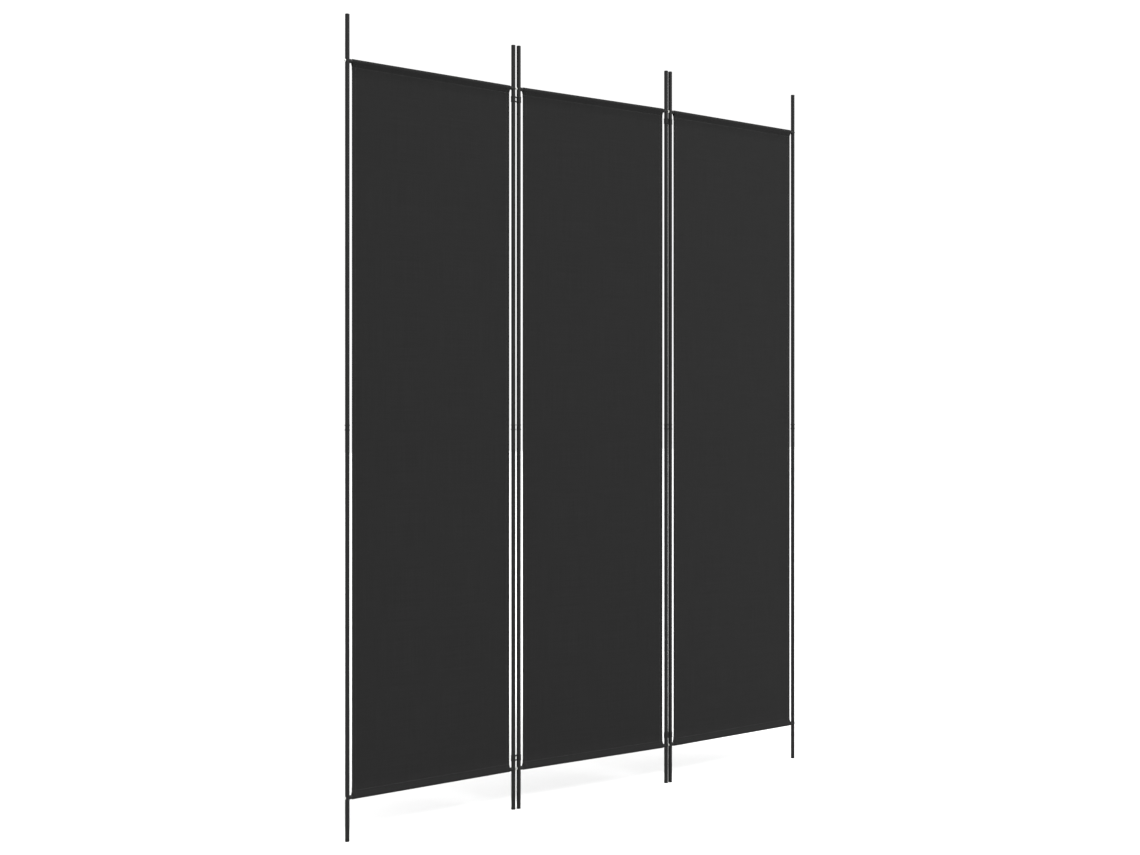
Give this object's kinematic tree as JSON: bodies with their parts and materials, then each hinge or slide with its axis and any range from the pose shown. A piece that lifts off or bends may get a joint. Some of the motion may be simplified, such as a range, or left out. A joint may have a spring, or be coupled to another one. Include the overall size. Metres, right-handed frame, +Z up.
{
  "type": "folding room divider screen",
  "caption": "Tall folding privacy screen: thin round steel frames with dark fabric stretched between top and bottom rails, linked by double-ring clips so that it folds like an accordion.",
  "frame": {"origin": "on the floor, under the middle of the middle panel", "axes": "+X along the middle panel from left to right, +Y through its thickness, away from the viewer, +Z up"},
  "size_m": [1.5017, 0.065, 2],
  "materials": {
    "powder_coated_steel": "satin powder coat, near black",
    "woven_polyester": "plain weave, matt, dark grey",
    "moulded_plastic": "moulded, satin black",
    "zinc_plated_steel": "zinc plated"
  },
  "bodies": {
    "middle_panel": {"middle_panel_left_post_foot_cap": "moulded_plastic", "middle_panel_left_post_lower_tube": "powder_coated_steel", "middle_panel_left_post_coupler": "moulded_plastic", "middle_panel_left_post_upper_tube": "powder_coated_steel", "middle_panel_left_post_top_cap": "moulded_plastic", "middle_panel_right_post_foot_cap": "moulded_plastic", "middle_panel_right_post_lower_tube": "powder_coated_steel", "middle_panel_right_post_coupler": "moulded_plastic", "middle_panel_right_post_upper_tube": "powder_coated_steel", "middle_panel_right_post_top_cap": "moulded_plastic", "middle_panel_bottom_rail": "powder_coated_steel", "middle_panel_top_rail": "powder_coated_steel", "middle_panel_rail_end_plugs": "moulded_plastic", "middle_panel_rail_screws": "zinc_plated_steel", "middle_panel_fabric": "woven_polyester"},
    "left_clips": {"left_pair_bottom_clip": "moulded_plastic", "left_pair_top_clip": "moulded_plastic"},
    "left_panel": {"left_panel_left_post_foot_cap": "moulded_plastic", "left_panel_left_post_lower_tube": "powder_coated_steel", "left_panel_left_post_coupler": "moulded_plastic", "left_panel_left_post_upper_tube": "powder_coated_steel", "left_panel_left_post_top_cap": "moulded_plastic", "left_panel_right_post_foot_cap": "moulded_plastic", "left_panel_right_post_lower_tube": "powder_coated_steel", "left_panel_right_post_coupler": "moulded_plastic", "left_panel_right_post_upper_tube": "powder_coated_steel", "left_panel_right_post_top_cap": "moulded_plastic", "left_panel_bottom_rail": "powder_coated_steel", "left_panel_top_rail": "powder_coated_steel", "left_panel_rail_end_plugs": "moulded_plastic", "left_panel_rail_screws": "zinc_plated_steel", "left_panel_fabric": "woven_polyester"},
    "right_clips": {"right_pair_bottom_clip": "moulded_plastic", "right_pair_top_clip": "moulded_plastic"},
    "right_panel": {"right_panel_left_post_foot_cap": "moulded_plastic", "right_panel_left_post_lower_tube": "powder_coated_steel", "right_panel_left_post_coupler": "moulded_plastic", "right_panel_left_post_upper_tube": "powder_coated_steel", "right_panel_left_post_top_cap": "moulded_plastic", "right_panel_right_post_foot_cap": "moulded_plastic", "right_panel_right_post_lower_tube": "powder_coated_steel", "right_panel_right_post_coupler": "moulded_plastic", "right_panel_right_post_upper_tube": "powder_coated_steel", "right_panel_right_post_top_cap": "moulded_plastic", "right_panel_bottom_rail": "powder_coated_steel", "right_panel_top_rail": "powder_coated_steel", "right_panel_rail_end_plugs": "moulded_plastic", "right_panel_rail_screws": "zinc_plated_steel", "right_panel_fabric": "woven_polyester"}
  },
  "joints": [
    {"name": "left_clips_turn", "type": "hinge", "parent": "middle_panel", "child": "left_clips", "pos_m": [-0.24283, 0, 1], "axis": [0, 0, 1], "range_deg": [-27, 93]},
    {"name": "left_panel_fold", "type": "hinge", "parent": "left_clips", "child": "left_panel", "pos_m": [-0.25881, 0.00084, 1], "axis": [0, 0, 1], "range_deg": [-36, 84]},
    {"name": "right_clips_turn", "type": "hinge", "parent": "middle_panel", "child": "right_clips", "pos_m": [0.24283, 0, 1], "axis": [0, 0, 1], "range_deg": [-37, 83]},
    {"name": "right_panel_fold", "type": "hinge", "parent": "right_clips", "child": "right_panel", "pos_m": [0.25871, 0.00195, 1], "axis": [0, 0, 1], "range_deg": [-26, 94]}
  ]
}
